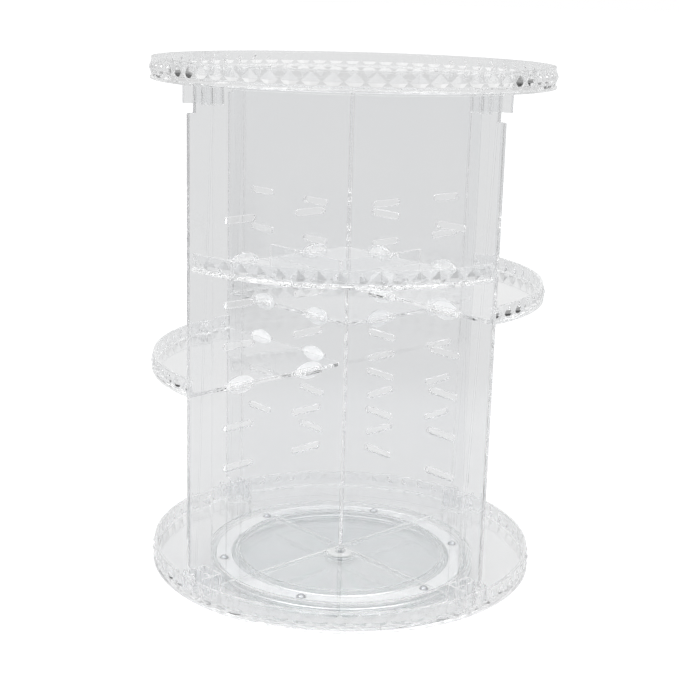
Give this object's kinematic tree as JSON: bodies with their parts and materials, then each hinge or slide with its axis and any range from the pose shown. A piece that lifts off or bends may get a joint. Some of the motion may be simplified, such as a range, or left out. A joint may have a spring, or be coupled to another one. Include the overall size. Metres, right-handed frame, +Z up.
{
  "type": "rotating makeup organizer",
  "caption": "Clear rotating makeup organizer: round diamond-rimmed base and top trays, crossed slotted panels and hook-on quarter shelves.",
  "frame": {"origin": "on the table under the turning axis, at the underside of the feet", "axes": "+Z up along the turning axis; -Y towards the front quarter, with the highest shelf; +X to the right"},
  "size_m": [0.23, 0.23, 0.3062],
  "materials": {
    "clear_plastic": "clear polished",
    "clear_plate": "clear polished",
    "milky_plastic": "satin, translucent white",
    "white_nylon": "satin",
    "bright_steel": "polished",
    "clear_rubber": "soft, matte"
  },
  "bodies": {
    "turntable": {"turntable_base": "clear_plate", "thrust_washer": "white_nylon", "foot_1": "clear_rubber", "foot_2": "clear_rubber", "foot_3": "clear_rubber", "foot_4": "clear_rubber", "foot_5": "clear_rubber", "foot_6": "clear_rubber"},
    "cage": {"ball_cage": "milky_plastic", "ball_1": "bright_steel", "ball_2": "bright_steel", "ball_3": "bright_steel", "ball_4": "bright_steel", "ball_5": "bright_steel", "ball_6": "bright_steel"},
    "tower": {"base_tray": "clear_plastic", "panel_lower": "clear_plastic", "panel_upper": "clear_plastic", "pivot_screw": "bright_steel", "pivot_washer": "bright_steel"},
    "top": {"top_tray": "clear_plastic"},
    "front_shelf": {"shelf_front": "clear_plastic"},
    "right_shelf": {"shelf_right": "clear_plastic"},
    "back_shelf": {"shelf_back": "clear_plastic"},
    "left_shelf": {"shelf_left": "clear_plastic"}
  },
  "joints": [
    {"name": "tower_spin", "type": "hinge", "parent": "turntable", "child": "tower", "pos_m": [0, 0, 0], "axis": [0, 0, 1], "continuous": true},
    {"name": "cage_spin", "type": "hinge", "parent": "turntable", "child": "cage", "pos_m": [0, 0, 0], "axis": [0, 0, 1], "continuous": true},
    {"name": "top_tray_lift", "type": "slide", "parent": "tower", "child": "top", "axis": [0, 0, 1], "range_m": [0, 0.03]},
    {"name": "front_shelf_pull", "type": "slide", "parent": "tower", "child": "front_shelf", "axis": [0, -1, 0], "range_m": [0, 0.04]},
    {"name": "right_shelf_pull", "type": "slide", "parent": "tower", "child": "right_shelf", "axis": [1, 0, 0], "range_m": [0, 0.04]},
    {"name": "back_shelf_pull", "type": "slide", "parent": "tower", "child": "back_shelf", "axis": [0, 1, 0], "range_m": [0, 0.04]},
    {"name": "left_shelf_pull", "type": "slide", "parent": "tower", "child": "left_shelf", "axis": [-1, 0, 0], "range_m": [0, 0.04]}
  ],
  "couplings": [
    {"joint": "cage_spin", "follows": "tower_spin", "ratio": 0.5}
  ]
}
